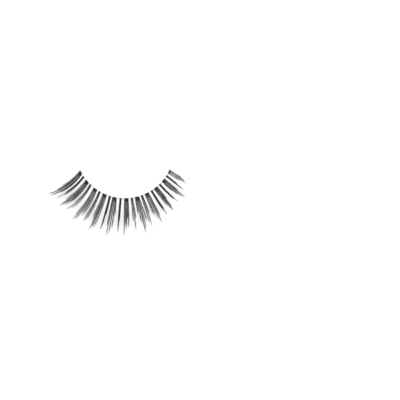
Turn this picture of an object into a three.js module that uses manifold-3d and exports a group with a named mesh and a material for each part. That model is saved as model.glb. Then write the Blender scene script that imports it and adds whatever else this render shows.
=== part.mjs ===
// False eyelash strip, one of a mirrored pair: a clear thread bent to the curve of the lid, with
// tufts of black fibre knotted on it, wide and narrow by turns, long towards the outer corner of
// the eye and short at the inner one.
//
// Frame: the strip lies on its knots on the plane z = 0, as on a table. +X runs along the lid
// from the outer to the inner corner, +Y into the hollow of the curve, +Z up, the way the lashes
// curl. The origin is under the thread at the lowest point of the curve.

import * as THREE from 'three';
import { mergeVertices } from 'three/addons/utils/BufferGeometryUtils.js';
import Module from 'manifold-3d';

const wasm = await Module();
wasm.setup();

// Driving dimensions, in millimetres
const bandRadius = 15; // curve of the lid, to the middle of the thread
const threadThickness = 0.16;
const threadTail = 0.35; // clear thread left past each end knot
const knotSpacing = 1.62; // from knot to knot along the thread
const wideKnotLength = 1.25;
const narrowKnotLength = 0.58;
const knotWall = 0.105; // fibre wound round the thread
const knotClearance = 0.025; // between the thread and the fibre round it
const lashLength = 13.2; // the longest lash, measured along its curl
const lashFlat = 1.2; // length of each tuft that lies flat before it curls up
const curlRadius = 15; // upward curl of the tufts, seen from the side
const settleLength = 0.9; // length in which a tuft comes down from its knot to the table
const flareLength = 1.8; // length in which a tuft widens past its knot
const tipWidth = 0.07;
const tipThickness = 0.05;

// Shares: how much of its slot along the knot a lock fills, and of the knot's thickness
const lockFill = 0.8;
const lockDepth = 0.78;
const taperPower = 2; // locks keep their width at first and run thin towards the tip
const flare = 1.2; // width to which a tuft opens just past its knot, a share of the knot's length

const knotLengthOf = { wide: wideKnotLength, narrow: narrowKnotLength };

// Faceting
const sides = 8;
const knotSteps = 2;
const lockSides = 4;
const lockSteps = 7;
const bandStepsPerKnot = 2;

// One row for each tuft, from the outer corner to the inner one.
// shift: place of the knot off the even spacing, a share of knotSpacing
// lean: heading of the roots off the band's outward normal, in degrees, + towards the inner corner
// sweep: change of that heading from root to tip, in degrees
// spread: distance from lock to lock at the tip of the longest, as a share of that at the knot
// ends: length of each lock, from the outer side of the knot to the inner, a share of lashLength
const TUFTS = [
  { kind: 'wide', shift: 0.06, lean: 25, sweep: -40, spread: 1.55, ends: [0.55, 0.74, 1, 0.95, 0.7] },
  { kind: 'narrow', shift: 0, lean: 19, sweep: -32, spread: 0.5, ends: [0.55, 0.86, 0.63] },
  { kind: 'wide', shift: 0.1, lean: 14, sweep: -27, spread: 1.4, ends: [0.66, 0.86, 0.88, 0.76, 0.6] },
  { kind: 'narrow', shift: -0.02, lean: 16, sweep: -33, spread: 2.6, ends: [0.55, 0.83, 0.7] },
  { kind: 'wide', shift: 0.15, lean: 12, sweep: -21, spread: 1.8, ends: [0.78, 0.97, 0.91, 0.65, 0.7] },
  { kind: 'narrow', shift: 0.1, lean: 9, sweep: -16, spread: 2.4, ends: [0.7, 0.8, 0.75] },
  { kind: 'wide', shift: 0.17, lean: 5, sweep: -11, spread: 1.6, ends: [0.6, 0.72, 0.98, 0.88, 0.85] },
  { kind: 'narrow', shift: 0.19, lean: 4, sweep: -2, spread: 1.6, ends: [0.86, 0.7, 0.45] },
  { kind: 'wide', shift: 0.09, lean: 4, sweep: -3, spread: 2.4, ends: [0.67, 0.97, 0.92, 0.72, 0.4] },
  { kind: 'narrow', shift: 0.24, lean: -1, sweep: 3, spread: 0.85, ends: [0.7, 0.84, 0.54] },
  { kind: 'wide', shift: 0.29, lean: -1, sweep: 0, spread: 1.4, ends: [0.91, 0.63, 0.72, 0.48, 0.67] },
  { kind: 'narrow', shift: 0.31, lean: 0, sweep: -1, spread: 3, ends: [0.55, 0.77, 0.49] },
  { kind: 'wide', shift: 0.29, lean: 1, sweep: -2, spread: 2.4, ends: [0.37, 0.61, 0.88, 0.75, 0.56] },
  { kind: 'narrow', shift: 0.23, lean: 1, sweep: -4, spread: 2.6, ends: [0.65, 0.76, 0.45] },
  { kind: 'wide', shift: 0.21, lean: 0, sweep: -2, spread: 1.8, ends: [0.5, 0.56, 0.69, 0.79, 0.61] },
  { kind: 'narrow', shift: 0.26, lean: -2, sweep: 7, spread: 0.55, ends: [0.53, 0.67, 0.52] },
  { kind: 'wide', shift: 0.18, lean: 1, sweep: -1, spread: 1.15, ends: [0.49, 0.65, 0.66, 0.59, 0.35] },
  { kind: 'narrow', shift: 0.17, lean: -2, sweep: 8, spread: 0.3, ends: [0.45, 0.46, 0.59] },
  { kind: 'wide', shift: 0.2, lean: -3, sweep: 3, spread: 1.3, ends: [0.32, 0.46, 0.56, 0.67, 0.42] },
  { kind: 'narrow', shift: 0.19, lean: -5, sweep: 0, spread: 0.4, ends: [0.5, 0.42, 0.32] },
  { kind: 'wide', shift: 0.14, lean: -7, sweep: 6, spread: 1.1, ends: [0.31, 0.51, 0.42, 0.41, 0.31] },
];

// Sizes that follow from the driving ones
const boreThickness = threadThickness + 2 * knotClearance;
const knotThickness = boreThickness + 2 * knotWall;
const bandHeight = knotThickness / 2; // the knots rest on z = 0 and hold the thread clear of it

// Angle round the curve, from its lowest point towards the inner corner, of a place on the band.
function bandAngle(length) {
  return length / bandRadius;
}

// Place of tuft number i along the band.
function knotPlace(i) {
  const middle = (TUFTS.length - 1) / 2;
  return (i - middle + TUFTS[i].shift) * knotSpacing;
}

// Moves every vertex of a geometry through a rule.
function reshape(geometry, rule) {
  const position = geometry.getAttribute('position');
  const vertex = new THREE.Vector3();
  for (let i = 0; i < position.count; i += 1) {
    vertex.fromBufferAttribute(position, i);
    const moved = rule(vertex);
    position.setXYZ(i, moved.x, moved.y, moved.z);
  }
  return geometry;
}

// A bar of eight flats, bent along the band from one place on it to another. Two of its flats
// stay level, so a knot lies on the table on its underside.
function barOnBand(thickness, from, to, steps) {
  const radius = thickness / 2 / Math.cos(Math.PI / sides);
  const bar = new THREE.CylinderGeometry(radius, radius, 1, sides, steps, false, Math.PI / sides);
  return reshape(bar, ({ x, y, z }) => {
    const angle = bandAngle(from + (y + 0.5) * (to - from));
    const reach = bandRadius + x;
    return new THREE.Vector3(
      reach * Math.sin(angle),
      bandRadius - reach * Math.cos(angle),
      bandHeight + z,
    );
  });
}

// Length seen from above, and climb angle, of a lash at a length along its curl.
function curl(length) {
  const climb = Math.max(0, length - lashFlat) / curlRadius;
  const flat = Math.min(length, lashFlat);
  return { run: flat + curlRadius * Math.sin(climb), rise: curlRadius * (1 - Math.cos(climb)), climb };
}

// Where a lash of the tuft is, and its heading, at a length along its curl. In plan the tuft
// bends in one even arc. Sideways is along the band, outward is along its normal.
function lashPlan(tuft, length) {
  const { run, rise, climb } = curl(length);
  const share = run / curl(Math.max(...tuft.ends) * lashLength).run;
  const lean = THREE.MathUtils.degToRad(tuft.lean);
  const turn = THREE.MathUtils.degToRad(tuft.sweep) * share;
  const chord = turn === 0 ? run : (run * Math.sin(turn / 2)) / (turn / 2);
  const opened = THREE.MathUtils.smoothstep(run, 0, flareLength);
  const flared = THREE.MathUtils.lerp(1, flare, opened);
  return {
    sideways: chord * Math.sin(lean + turn / 2),
    outward: chord * Math.cos(lean + turn / 2),
    heading: lean + turn,
    fan: THREE.MathUtils.lerp(flared, tuft.spread, share),
    rise,
    climb,
  };
}

// One lock of a tuft, from inside the knot to its tip, in the knot's own directions:
// x sideways along the band, y outward from it, z up from the table.
function lock(tuft, number) {
  const slot = knotLengthOf[tuft.kind] / tuft.ends.length;
  const length = tuft.ends[number] * lashLength;
  const rootPlace = (number + 0.5 - tuft.ends.length / 2) * slot;
  const rootWidth = slot * lockFill;
  const rootThickness = knotThickness * lockDepth;

  const strand = new THREE.CylinderGeometry(0.5, 0.5, 1, lockSides, lockSteps);
  return reshape(strand, ({ x, y, z }) => {
    const share = y + 0.5;
    const thin = share ** taperPower;
    const width = THREE.MathUtils.lerp(rootWidth, tipWidth, thin);
    const thickness = THREE.MathUtils.lerp(rootThickness, tipThickness, thin);
    const { sideways, outward, heading, fan, rise, climb } = lashPlan(tuft, share * length);
    const settled = THREE.MathUtils.smoothstep(share * length, 0, settleLength);
    const underside = THREE.MathUtils.lerp(bandHeight - thickness / 2, 0, settled);
    const over = -x * width;
    const up = z * thickness;
    return new THREE.Vector3(
      rootPlace * fan + sideways + over * Math.cos(heading) - up * Math.sin(climb) * Math.sin(heading),
      outward - over * Math.sin(heading) - up * Math.sin(climb) * Math.cos(heading),
      underside + thickness / 2 + rise + up * Math.cos(climb),
    );
  });
}

// Turns a lock from its knot's directions into the strip's.
function placeAtKnot(geometry, place) {
  const angle = bandAngle(place);
  return reshape(geometry, ({ x, y, z }) => new THREE.Vector3(
    x * Math.cos(angle) + (bandRadius + y) * Math.sin(angle),
    bandRadius + x * Math.sin(angle) - (bandRadius + y) * Math.cos(angle),
    z,
  ));
}

// A closed geometry as a solid that can be joined and cut.
function toSolid(geometry) {
  geometry.deleteAttribute('normal');
  geometry.deleteAttribute('uv');
  const closed = mergeVertices(geometry, 1e-6);
  return new wasm.Manifold(new wasm.Mesh({
    numProp: 3,
    vertProperties: closed.getAttribute('position').array,
    triVerts: Uint32Array.from(closed.index.array),
  }));
}

function toGeometry(solid) {
  const mesh = solid.getMesh();
  const geometry = new THREE.BufferGeometry();
  geometry.setAttribute('position', new THREE.BufferAttribute(mesh.vertProperties, 3));
  geometry.setIndex(new THREE.BufferAttribute(mesh.triVerts, 1));
  geometry.computeVertexNormals();
  return geometry;
}

// A knot with its locks in one piece, drilled for the thread.
function tuftGeometry(tuft, place) {
  const half = knotLengthOf[tuft.kind] / 2;
  const drillHalf = half + knotThickness;
  let solid = toSolid(barOnBand(knotThickness, place - half, place + half, knotSteps));
  for (let number = 0; number < tuft.ends.length; number += 1) {
    solid = solid.add(toSolid(placeAtKnot(lock(tuft, number), place)));
  }
  const drill = barOnBand(boreThickness, place - drillHalf, place + drillHalf, knotSteps * 2);
  return toGeometry(solid.subtract(toSolid(drill)));
}

function fibreMaterial() {
  return new THREE.MeshStandardMaterial({ color: 0x0c0c0d, roughness: 0.5, metalness: 0 });
}

function threadMaterial() {
  return new THREE.MeshStandardMaterial({
    color: 0xe6e9ea,
    roughness: 0.15,
    metalness: 0,
    transparent: true,
    opacity: 0.35,
  });
}

function makeBand() {
  const last = TUFTS.length - 1;
  const start = knotPlace(0) - knotLengthOf[TUFTS[0].kind] / 2 - threadTail;
  const end = knotPlace(last) + knotLengthOf[TUFTS[last].kind] / 2 + threadTail;
  const steps = TUFTS.length * bandStepsPerKnot;
  const band = new THREE.Mesh(barOnBand(threadThickness, start, end, steps), threadMaterial());
  band.name = 'band';
  return band;
}

function makeTuft(i) {
  const tuft = new THREE.Mesh(tuftGeometry(TUFTS[i], knotPlace(i)), fibreMaterial());
  tuft.name = `tuft_${String(i + 1).padStart(2, '0')}`;
  return tuft;
}

const group = new THREE.Group();
group.name = 'eyelash_strip';
group.add(makeBand());
TUFTS.forEach((row, i) => group.add(makeTuft(i)));

export default group;
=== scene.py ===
"""False eyelash strip: tufts of black fibre knotted on a clear thread, on a pale table."""

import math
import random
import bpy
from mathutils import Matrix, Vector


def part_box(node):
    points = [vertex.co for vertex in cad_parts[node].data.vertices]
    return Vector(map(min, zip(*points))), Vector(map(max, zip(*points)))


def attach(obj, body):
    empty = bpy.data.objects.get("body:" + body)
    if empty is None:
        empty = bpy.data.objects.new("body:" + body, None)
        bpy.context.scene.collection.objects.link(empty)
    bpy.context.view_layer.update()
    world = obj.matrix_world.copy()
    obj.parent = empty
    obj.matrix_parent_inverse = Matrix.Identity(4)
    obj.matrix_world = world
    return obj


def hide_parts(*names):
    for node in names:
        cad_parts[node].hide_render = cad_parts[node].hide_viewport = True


bl_info = {
    "name": "Eyelash strip",
    "version": (1, 0, 0),
    "blender": (4, 5, 0),
    "location": "3D View > Sidebar > Eyelash strip",
    "description": "Knots fibre tufts on the strip's thread and sets the table, light and camera",
    "category": "Object",
}

from collections import namedtuple

import bpy
from bpy.props import FloatProperty, FloatVectorProperty, PointerProperty
from bpy.types import Operator, Panel, PropertyGroup
from mathutils import Matrix, Vector

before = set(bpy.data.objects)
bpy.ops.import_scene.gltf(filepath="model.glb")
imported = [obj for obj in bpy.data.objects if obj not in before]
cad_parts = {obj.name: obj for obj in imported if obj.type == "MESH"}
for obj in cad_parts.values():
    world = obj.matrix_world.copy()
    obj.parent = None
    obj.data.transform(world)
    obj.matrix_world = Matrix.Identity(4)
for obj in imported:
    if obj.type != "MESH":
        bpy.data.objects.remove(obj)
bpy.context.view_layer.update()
THREAD_LOW, THREAD_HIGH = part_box("band")

# How a fibre's path is drawn: steps of each end and of its turns round the thread, which start
# over the thread and end under it, and the share of its thickness that it keeps there.
LEG_STEPS = 14
WRAP_STEPS = 12
WRAP_START = 0.25
WRAP_TURNS = 1.5
WRAP_THIN = 0.95
# A fibre's end keeps its thickness up to this share of its length, and thins to this share of it.
TAPER_START = 0.8
TIP_SHARE = 0.2
# Height of the upper ends over the table, in fibre radii: they lie in the furrows of the lower.
UPPER_LAYER = 2.6
# A lock's fibres close in on each other by this share, within this length in metres.
BUNCHING = 0.3
BUNCHED_AT = 0.0006
# Starts the random draws. Another number lays the fibres a little differently.
DICE = 2
# A lock's curl is this much wider than the solid's, from the least to the most, so that its fine
# tips rise hardly higher than the solids' tips.
CURL_LEAST = 1.04
CURL_MOST = 1.1
# How much shorter a fibre may be than its lock, as a share of it.
LENGTH_CHANCE = 0.1
# The longest end of a lock, as a share of the lock's length: its fine tip runs on past the rest.
LONGEST = 1.02
# How far a lock heads off its tuft's way, and a fibre off its lock's, in degrees.
LOCK_STRAY = 0.4
OWN_STRAY = 0.12
# How finely the thread and the fibres are rounded, as steps of Blender's bevel.
THREAD_ROUNDNESS = 4
FIBRE_ROUNDNESS = 1
# Steps of the thread's curve for each tuft.
THREAD_STEPS = 6
# Points of a mesh that are closer than this are one, in metres.
MERGE_DISTANCE = 1e-7

# Fineness of the spots on fibre and thread, their roughness from the smoothest spot to the
# roughest, and the depth of the spots on a fibre in metres.
FIBRE_GRAIN = 1800
THREAD_GRAIN = 900
FIBRE_ROUGHNESS = (0.34, 0.5)
THREAD_ROUGHNESS = (0.05, 0.16)
FIBRE_UNEVENNESS = 0.00001

# A wide table under a large soft lamp, almost overhead, in a pale room. Lengths are in metres.
TABLE_WIDTH = 3
LAMP_PLACE = (-0.1, 0.15, 1.7)
LAMP_WIDTH = 1.0
LAMP_POWER = 14.0
ROOM_BRIGHTNESS = 0.85
# The view is the photograph's, from straight above. The frame is 120 mm wide.
VIEW_WIDTH = 0.12
VIEW_CENTRE = (0.02256, -0.00036)
LENS = 300
SENSOR = 36
NEAREST_SEEN = 0.01

# One row for each tuft, from the outer corner of the eye to the inner one.
# kind: wide or narrow knot
# shift: place of the knot off the even spacing, a share of the spacing
# lean: heading of the roots off the thread's outward normal, in degrees, + to the inner corner
# sweep: change of that heading from root to tip, in degrees
# spread: distance from lock to lock at the longest tip, a share of that at the knot
# ends: length of each lock, from the outer side to the inner, a share of the lash length
# fibres: fibres folded over the thread in each lock, each with two ends
Tuft = namedtuple("Tuft", "kind shift lean sweep spread ends fibres")
TUFTS = (
    Tuft("wide", 0.06, 25, -40, 1.55, (0.55, 0.74, 1, 0.95, 0.7), 2),
    Tuft("narrow", 0, 19, -32, 0.5, (0.55, 0.86, 0.63), 2),
    Tuft("wide", 0.1, 14, -27, 1.4, (0.66, 0.86, 0.88, 0.76, 0.6), 2),
    Tuft("narrow", -0.02, 16, -33, 2.6, (0.55, 0.83, 0.7), 2),
    Tuft("wide", 0.15, 12, -21, 1.8, (0.78, 0.97, 0.91, 0.65, 0.7), 2),
    Tuft("narrow", 0.1, 9, -16, 2.4, (0.7, 0.8, 0.75), 2),
    Tuft("wide", 0.17, 5, -11, 1.6, (0.6, 0.72, 0.98, 0.88, 0.85), 2),
    Tuft("narrow", 0.19, 4, -2, 1.6, (0.86, 0.7, 0.45), 2),
    Tuft("wide", 0.09, 4, -3, 2.4, (0.67, 0.97, 0.92, 0.72, 0.4), 3),
    Tuft("narrow", 0.24, -1, 3, 0.85, (0.7, 0.84, 0.54), 2),
    Tuft("wide", 0.29, -1, 0, 1.4, (0.91, 0.63, 0.72, 0.48, 0.67), 2),
    Tuft("narrow", 0.31, 0, -1, 3, (0.55, 0.77, 0.49), 2),
    Tuft("wide", 0.29, 1, -2, 2.4, (0.37, 0.61, 0.88, 0.75, 0.56), 3),
    Tuft("narrow", 0.23, 1, -4, 2.6, (0.65, 0.76, 0.45), 2),
    Tuft("wide", 0.21, 0, -2, 1.8, (0.5, 0.56, 0.69, 0.79, 0.61), 2),
    Tuft("narrow", 0.26, -2, 7, 0.55, (0.53, 0.67, 0.52), 2),
    Tuft("wide", 0.18, 1, -1, 1.15, (0.49, 0.65, 0.66, 0.59, 0.35), 2),
    Tuft("narrow", 0.17, -2, 8, 0.3, (0.45, 0.46, 0.59), 2),
    Tuft("wide", 0.2, -3, 3, 1.3, (0.32, 0.46, 0.56, 0.67, 0.42), 2),
    Tuft("narrow", 0.19, -5, 0, 0.4, (0.5, 0.42, 0.32), 2),
    Tuft("wide", 0.14, -7, 6, 1.1, (0.31, 0.51, 0.42, 0.41, 0.31), 1),
)

# One end of a folded fibre: its place beside its lock's line, its length, the height at which it
# leaves the knot and the height at which it then runs, all in metres.
Leg = namedtuple("Leg", "beside length leaves runs")
# The way that a lock or fibre takes: its heading at the root and the change of it, in degrees,
# and the radius of its curl.
Way = namedtuple("Way", "lean sweep radius")


class LashSizes(PropertyGroup):
    """Sizes of the strip, in metres."""

    band_radius: FloatProperty(
        name="Lid curve",
        description="Radius of the lid's curve, to the middle of the thread",
        default=0.015,
        unit="LENGTH",
    )
    thread_thickness: FloatProperty(
        name="Thread",
        description="Thickness of the clear thread",
        default=THREAD_HIGH.z - THREAD_LOW.z,
        unit="LENGTH",
    )
    thread_height: FloatProperty(
        name="Thread height",
        description="Height of the thread's middle over the table",
        default=(THREAD_HIGH.z + THREAD_LOW.z) / 2,
        unit="LENGTH",
    )
    thread_tail: FloatProperty(
        name="Thread tail",
        description="Bare thread past each end knot",
        default=0.00035,
        unit="LENGTH",
    )
    knot_spacing: FloatProperty(
        name="Knot spacing",
        description="Distance from knot to knot along the thread",
        default=0.00162,
        unit="LENGTH",
    )
    wide_knot: FloatProperty(
        name="Wide knot",
        description="Length of a wide knot along the thread",
        default=0.00125,
        unit="LENGTH",
    )
    narrow_knot: FloatProperty(
        name="Narrow knot",
        description="Length of a narrow knot along the thread",
        default=0.00058,
        unit="LENGTH",
    )
    fibre_thickness: FloatProperty(
        name="Fibre",
        description="Thickness of a fibre before it tapers",
        default=0.00012,
        unit="LENGTH",
    )
    fibre_pairing: FloatProperty(
        name="Pairing",
        description="Distance between the two ends of a folded fibre, side by side",
        default=0.00005,
        unit="LENGTH",
    )
    flare: FloatProperty(
        name="Flare",
        description="How much a tuft widens as it leaves its knot, a share of the knot's length",
        default=1.2,
    )
    flare_length: FloatProperty(
        name="Flare length",
        description="Length in which a tuft widens past its knot",
        default=0.0018,
        unit="LENGTH",
    )
    lash_length: FloatProperty(
        name="Lash length",
        description="Length of the longest tuft along its curl",
        default=0.0132,
        unit="LENGTH",
    )
    lash_flat: FloatProperty(
        name="Flat root",
        description="Length of each fibre that lies flat before it curls up",
        default=0.0012,
        unit="LENGTH",
    )
    curl_radius: FloatProperty(
        name="Curl",
        description="Radius of the upward curl",
        default=0.015,
        unit="LENGTH",
    )
    settle_length: FloatProperty(
        name="Settling",
        description="Length in which a fibre comes down from its knot",
        default=0.0009,
        unit="LENGTH",
    )


class LashColours(PropertyGroup):
    """Colours of the strip and its table."""

    fibre: FloatVectorProperty(
        name="Fibre",
        description="Black of the fibre",
        subtype="COLOR",
        size=4,
        default=(0.004, 0.004, 0.0045, 1.0),
    )
    # Painted sheen: a paler black given at random to some fibres, standing in for fibres that
    # catch the light.
    fibre_painted_sheen: FloatVectorProperty(
        name="Paler fibre",
        description="Softer black of the palest fibres; the rest lie between the two",
        subtype="COLOR",
        size=4,
        default=(0.045, 0.044, 0.044, 1.0),
    )
    thread: FloatVectorProperty(
        name="Thread",
        description="Tint of the clear thread",
        subtype="COLOR",
        size=4,
        default=(0.93, 0.95, 0.96, 1.0),
    )
    table: FloatVectorProperty(
        name="Table",
        description="Colour of the table",
        subtype="COLOR",
        size=4,
        default=(0.86, 0.86, 0.86, 1.0),
    )


def knot_length(sizes, tuft):
    """Length of a tuft's knot along the thread."""
    return sizes.wide_knot if tuft.kind == "wide" else sizes.narrow_knot


def knot_place(sizes, number):
    """Place of a tuft's knot along the thread, from the lowest point of the lid's curve."""
    middle = (len(TUFTS) - 1) / 2
    return (number - middle + TUFTS[number].shift) * sizes.knot_spacing


def at_band(sizes, place, outward=0.0, height=0.0):
    """Point beside the thread's path, so far along it, outward from it and over the table."""
    angle = place / sizes.band_radius
    reach = sizes.band_radius + outward
    return Vector(
        (reach * math.sin(angle), sizes.band_radius - reach * math.cos(angle), height)
    )


def knot_frame(sizes, place):
    """Matrix from a knot's own directions, sideways, outward and up, to the strip's."""
    angle = place / sizes.band_radius
    turned = Matrix(
        (
            (math.cos(angle), math.sin(angle), 0, 0),
            (math.sin(angle), -math.cos(angle), 0, 0),
            (0, 0, 1, 0),
            (0, 0, 0, 1),
        )
    )
    return Matrix.Translation(at_band(sizes, place)) @ turned


def curl(sizes, length, radius):
    """Distance seen from above and rise of a fibre at a length along its curl."""
    climb = max(0.0, length - sizes.lash_flat) / radius
    run = min(length, sizes.lash_flat) + radius * math.sin(climb)
    return run, radius * (1 - math.cos(climb))


def eased(value, low, high):
    """Share of the way from low to high, with soft ends."""
    share = min(1.0, max(0.0, (value - low) / (high - low)))
    return share * share * (3 - 2 * share)


def leg_points(sizes, tuft, line, leg, way):
    """One end of a fibre, from its knot to its tip: pairs of a point and a thickness share.

    line is the place of its lock along the knot.
    """
    lean = math.radians(way.lean)
    whole, _ = curl(sizes, max(tuft.ends) * sizes.lash_length, sizes.curl_radius)
    points = []
    for step in range(1, LEG_STEPS + 1):
        share = step / LEG_STEPS
        along = share * leg.length
        run, rise = curl(sizes, along, way.radius)
        part = run / whole
        turn = math.radians(way.sweep) * part
        chord = run if turn == 0 else run * math.sin(turn / 2) / (turn / 2)
        flared = 1 + (sizes.flare - 1) * eased(run, 0, sizes.flare_length)
        fan = flared + (tuft.spread - flared) * part
        settled = eased(along, 0, sizes.settle_length)
        bunched = 1 - BUNCHING * eased(along, 0, BUNCHED_AT)
        point = Vector(
            (
                line * fan + leg.beside * bunched + chord * math.sin(lean + turn / 2),
                chord * math.cos(lean + turn / 2),
                leg.leaves + (leg.runs - leg.leaves) * settled + rise,
            )
        )
        thickness = 1 - (1 - TIP_SHARE) * eased(share, TAPER_START, 1.0)
        points.append((point, thickness))
    return points


def wrap_points(sizes, place, hug, advance):
    """A fibre's turns round the thread, from over it to under it."""
    points = []
    for step in range(WRAP_STEPS + 1):
        turned = WRAP_TURNS * step / WRAP_STEPS
        angle = (WRAP_START + turned) * math.tau
        point = Vector(
            (
                place + (turned - WRAP_TURNS / 2) * advance,
                hug * math.cos(angle),
                sizes.thread_height + hug * math.sin(angle),
            )
        )
        points.append((point, WRAP_THIN))
    return points


def own_way(way, rng):
    """The way of one fibre end, close to the way of its lock."""
    return Way(way.lean + rng.gauss(0, OWN_STRAY), way.sweep + rng.gauss(0, OWN_STRAY), way.radius)


def lock_strands(sizes, tuft, number, rng):
    """The folded fibres of a lock: each is one end, its turns round the thread, the other end."""
    slot = knot_length(sizes, tuft) / len(tuft.ends)
    line = (number + 0.5 - len(tuft.ends) / 2) * slot
    fibre = sizes.fibre_thickness / 2
    hug = sizes.thread_thickness / 2 + fibre * WRAP_THIN
    way = Way(
        lean=tuft.lean + rng.gauss(0, LOCK_STRAY),
        sweep=tuft.sweep + rng.gauss(0, LOCK_STRAY),
        radius=sizes.curl_radius * rng.uniform(CURL_LEAST, CURL_MOST),
    )
    lengths = [1 - rng.uniform(0, LENGTH_CHANCE) for _ in range(2 * tuft.fibres)]
    lengths[0] = LONGEST
    strands = []
    for count in range(tuft.fibres):
        beside = ((count + 0.5) / tuft.fibres - 0.5) * slot
        over = Leg(
            beside=beside - sizes.fibre_pairing / 2,
            length=tuft.ends[number] * sizes.lash_length * lengths[2 * count],
            leaves=sizes.thread_height + hug,
            runs=UPPER_LAYER * fibre,
        )
        under = Leg(
            beside=beside + sizes.fibre_pairing / 2,
            length=tuft.ends[number] * sizes.lash_length * lengths[2 * count + 1],
            leaves=sizes.thread_height - hug,
            runs=fibre,
        )
        over_leg = leg_points(sizes, tuft, line, over, own_way(way, rng))
        under_leg = leg_points(sizes, tuft, line, under, own_way(way, rng))
        wrap = wrap_points(sizes, line + beside, hug, slot / tuft.fibres / 2)
        strands.append(over_leg[::-1] + wrap + under_leg)
    return strands


def strands_to_mesh(name, strands, thickness, roundness):
    """Mesh object of round strands, each a list of points with thickness shares."""
    bpy.ops.object.select_all(action="DESELECT")
    bpy.ops.curve.primitive_nurbs_path_add()
    piece = bpy.context.object
    piece.name = name
    curve = piece.data
    curve.splines.clear()
    curve.bevel_depth = thickness / 2
    curve.bevel_resolution = roundness
    curve.use_fill_caps = True
    for strand in strands:
        spline = curve.splines.new("POLY")
        spline.points.add(len(strand) - 1)
        for knot, (point, share) in zip(spline.points, strand):
            knot.co = (*point, 1)
            knot.radius = share
    bpy.ops.object.convert(target="MESH")
    piece = bpy.context.object
    piece.data.name = name
    bpy.ops.object.mode_set(mode="EDIT")
    bpy.ops.mesh.select_all(action="SELECT")
    bpy.ops.mesh.remove_doubles(threshold=MERGE_DISTANCE)
    bpy.ops.mesh.normals_make_consistent(inside=False)
    bpy.ops.object.mode_set(mode="OBJECT")
    bpy.ops.object.shade_smooth()
    return piece


def shader(name):
    """New material with its node tree and its principled shader."""
    material = bpy.data.materials.new(name)
    material.use_nodes = True
    return material, material.node_tree, material.node_tree.nodes["Principled BSDF"]


def spots(tree, grain):
    """Fine noise that stays with the piece."""
    coordinates = tree.nodes.new("ShaderNodeTexCoord")
    noise = tree.nodes.new("ShaderNodeTexNoise")
    noise.inputs["Scale"].default_value = grain
    tree.links.new(coordinates.outputs["Object"], noise.inputs["Vector"])
    return noise


def spotted_roughness(tree, surface, noise, least, most):
    """Let the roughness run from least to most with the noise."""
    gloss = tree.nodes.new("ShaderNodeMapRange")
    gloss.inputs["To Min"].default_value = least
    gloss.inputs["To Max"].default_value = most
    tree.links.new(noise.outputs["Fac"], gloss.inputs["Value"])
    tree.links.new(gloss.outputs["Result"], surface.inputs["Roughness"])


def fibre_material(colours):
    """Black synthetic fibre: satin, a little uneven, with painted sheen: paler fibres among the
    black ones stand in for fibres that catch the light.
    """
    material, tree, surface = shader("lash_fibre_black")
    geometry = tree.nodes.new("ShaderNodeNewGeometry")
    # Painted sheen: each fibre gets a random share of the paler black, which stands in for fibres
    # catching the light.
    painted_sheen_mix = tree.nodes.new("ShaderNodeMix")
    painted_sheen_mix.data_type = "RGBA"
    painted_sheen_mix.inputs["A"].default_value = colours.fibre
    painted_sheen_mix.inputs["B"].default_value = colours.fibre_painted_sheen
    tree.links.new(geometry.outputs["Random Per Island"], painted_sheen_mix.inputs["Factor"])
    tree.links.new(painted_sheen_mix.outputs["Result"], surface.inputs["Base Color"])
    noise = spots(tree, FIBRE_GRAIN)
    noise.inputs["Detail"].default_value = 3
    spotted_roughness(tree, surface, noise, *FIBRE_ROUGHNESS)
    bump = tree.nodes.new("ShaderNodeBump")
    bump.inputs["Strength"].default_value = 0.25
    bump.inputs["Distance"].default_value = FIBRE_UNEVENNESS
    tree.links.new(noise.outputs["Fac"], bump.inputs["Height"])
    tree.links.new(bump.outputs["Normal"], surface.inputs["Normal"])
    surface.inputs["Specular IOR Level"].default_value = 0.12
    return material


def thread_material(colours):
    """Clear nylon thread."""
    material, tree, surface = shader("clear_nylon")
    spotted_roughness(tree, surface, spots(tree, THREAD_GRAIN), *THREAD_ROUGHNESS)
    surface.inputs["Base Color"].default_value = colours.thread
    surface.inputs["Transmission Weight"].default_value = 0.9
    surface.inputs["IOR"].default_value = 1.53
    return material


def table_material(colours):
    """Smooth pale table."""
    material, _, surface = shader("pale_table")
    surface.inputs["Base Color"].default_value = colours.table
    surface.inputs["Roughness"].default_value = 0.7
    surface.inputs["Specular IOR Level"].default_value = 0.2
    return material


class LASH_OT_thread(Operator):
    """Bend the clear thread along the curve of the lid"""

    bl_idname = "lash.thread"
    bl_label = "Clear thread"

    def execute(self, context):
        sizes = context.scene.lash_sizes
        last = len(TUFTS) - 1
        start = knot_place(sizes, 0) - knot_length(sizes, TUFTS[0]) / 2 - sizes.thread_tail
        end = knot_place(sizes, last) + knot_length(sizes, TUFTS[last]) / 2 + sizes.thread_tail
        steps = len(TUFTS) * THREAD_STEPS
        strand = [
            (at_band(sizes, start + (end - start) * i / steps, 0, sizes.thread_height), 1.0)
            for i in range(steps + 1)
        ]
        thread = strands_to_mesh("thread", [strand], sizes.thread_thickness, THREAD_ROUNDNESS)
        thread.data.materials.append(thread_material(context.scene.lash_colours))
        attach(thread, "root")
        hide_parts("band")
        return {"FINISHED"}


class LASH_OT_tufts(Operator):
    """Knot the tufts of fibre on the thread"""

    bl_idname = "lash.tufts"
    bl_label = "Fibre tufts"

    def execute(self, context):
        sizes = context.scene.lash_sizes
        material = fibre_material(context.scene.lash_colours)
        for number, tuft in enumerate(TUFTS):
            rng = random.Random(f"{DICE} {number}")
            to_strip = knot_frame(sizes, knot_place(sizes, number))
            strands = []
            for lock in range(len(tuft.ends)):
                for path in lock_strands(sizes, tuft, lock, rng):
                    strands.append([(to_strip @ point, share) for point, share in path])
            node = f"tuft_{number + 1:02d}"
            name = f"fibres_{number + 1:02d}"
            piece = strands_to_mesh(name, strands, sizes.fibre_thickness, FIBRE_ROUNDNESS)
            piece.data.materials.append(material)
            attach(piece, "root")
            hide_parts(node)
        return {"FINISHED"}


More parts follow.
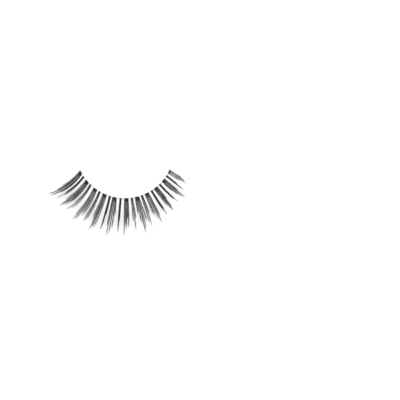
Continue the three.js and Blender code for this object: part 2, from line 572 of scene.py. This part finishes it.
class LASH_OT_stage(Operator):
    """Set the table, the light and the camera"""

    bl_idname = "lash.stage"
    bl_label = "Table, light and camera"

    def execute(self, context):
        scene = context.scene
        bpy.ops.mesh.primitive_plane_add(size=TABLE_WIDTH)
        table = context.object
        table.name = "table"
        table.data.materials.append(table_material(scene.lash_colours))

        bpy.ops.object.light_add(type="AREA", location=LAMP_PLACE)
        lamp = context.object
        lamp.name = "soft_lamp"
        lamp.data.shape = "DISK"
        lamp.data.size = LAMP_WIDTH
        lamp.data.energy = LAMP_POWER
        lamp.rotation_euler = (-lamp.location).to_track_quat("-Z", "Y").to_euler()

        world = bpy.data.worlds.new("pale_room")
        world.use_nodes = True
        sky = world.node_tree.nodes["Background"]
        sky.inputs["Color"].default_value = (1, 1, 1, 1)
        sky.inputs["Strength"].default_value = ROOM_BRIGHTNESS
        scene.world = world
        scene.view_settings.view_transform = "Standard"

        distance = VIEW_WIDTH * LENS / SENSOR
        bpy.ops.object.camera_add(location=(*VIEW_CENTRE, distance), rotation=(0, 0, 0))
        camera = context.object
        camera.name = "camera"
        camera.data.lens = LENS
        camera.data.sensor_width = SENSOR
        camera.data.clip_start = NEAREST_SEEN
        scene.camera = camera
        return {"FINISHED"}


class LASH_PT_panel(Panel):
    """Lists the strip's steps and sizes"""

    bl_idname = "LASH_PT_panel"
    bl_label = "Eyelash strip"
    bl_space_type = "VIEW_3D"
    bl_region_type = "UI"
    bl_category = "Eyelash strip"

    def draw(self, context):
        for operator in (LASH_OT_thread, LASH_OT_tufts, LASH_OT_stage):
            self.layout.operator(operator.bl_idname)
        for group in (context.scene.lash_sizes, context.scene.lash_colours):
            box = self.layout.box()
            for name in group.bl_rna.properties.keys():
                if name not in ("rna_type", "name"):
                    box.prop(group, name)


CLASSES = (
    LashSizes,
    LashColours,
    LASH_OT_thread,
    LASH_OT_tufts,
    LASH_OT_stage,
    LASH_PT_panel,
)


def register():
    """Add the strip's classes and settings."""
    for cls in CLASSES:
        bpy.utils.register_class(cls)
    bpy.types.Scene.lash_sizes = PointerProperty(type=LashSizes)
    bpy.types.Scene.lash_colours = PointerProperty(type=LashColours)


def unregister():
    """Take the strip's classes and settings out again."""
    del bpy.types.Scene.lash_colours
    del bpy.types.Scene.lash_sizes
    for cls in reversed(CLASSES):
        bpy.utils.unregister_class(cls)


def main():
    """Make the strip and its stage."""
    register()
    bpy.ops.lash.thread()
    bpy.ops.lash.tufts()
    bpy.ops.lash.stage()


if __name__ == "__main__":
    main()
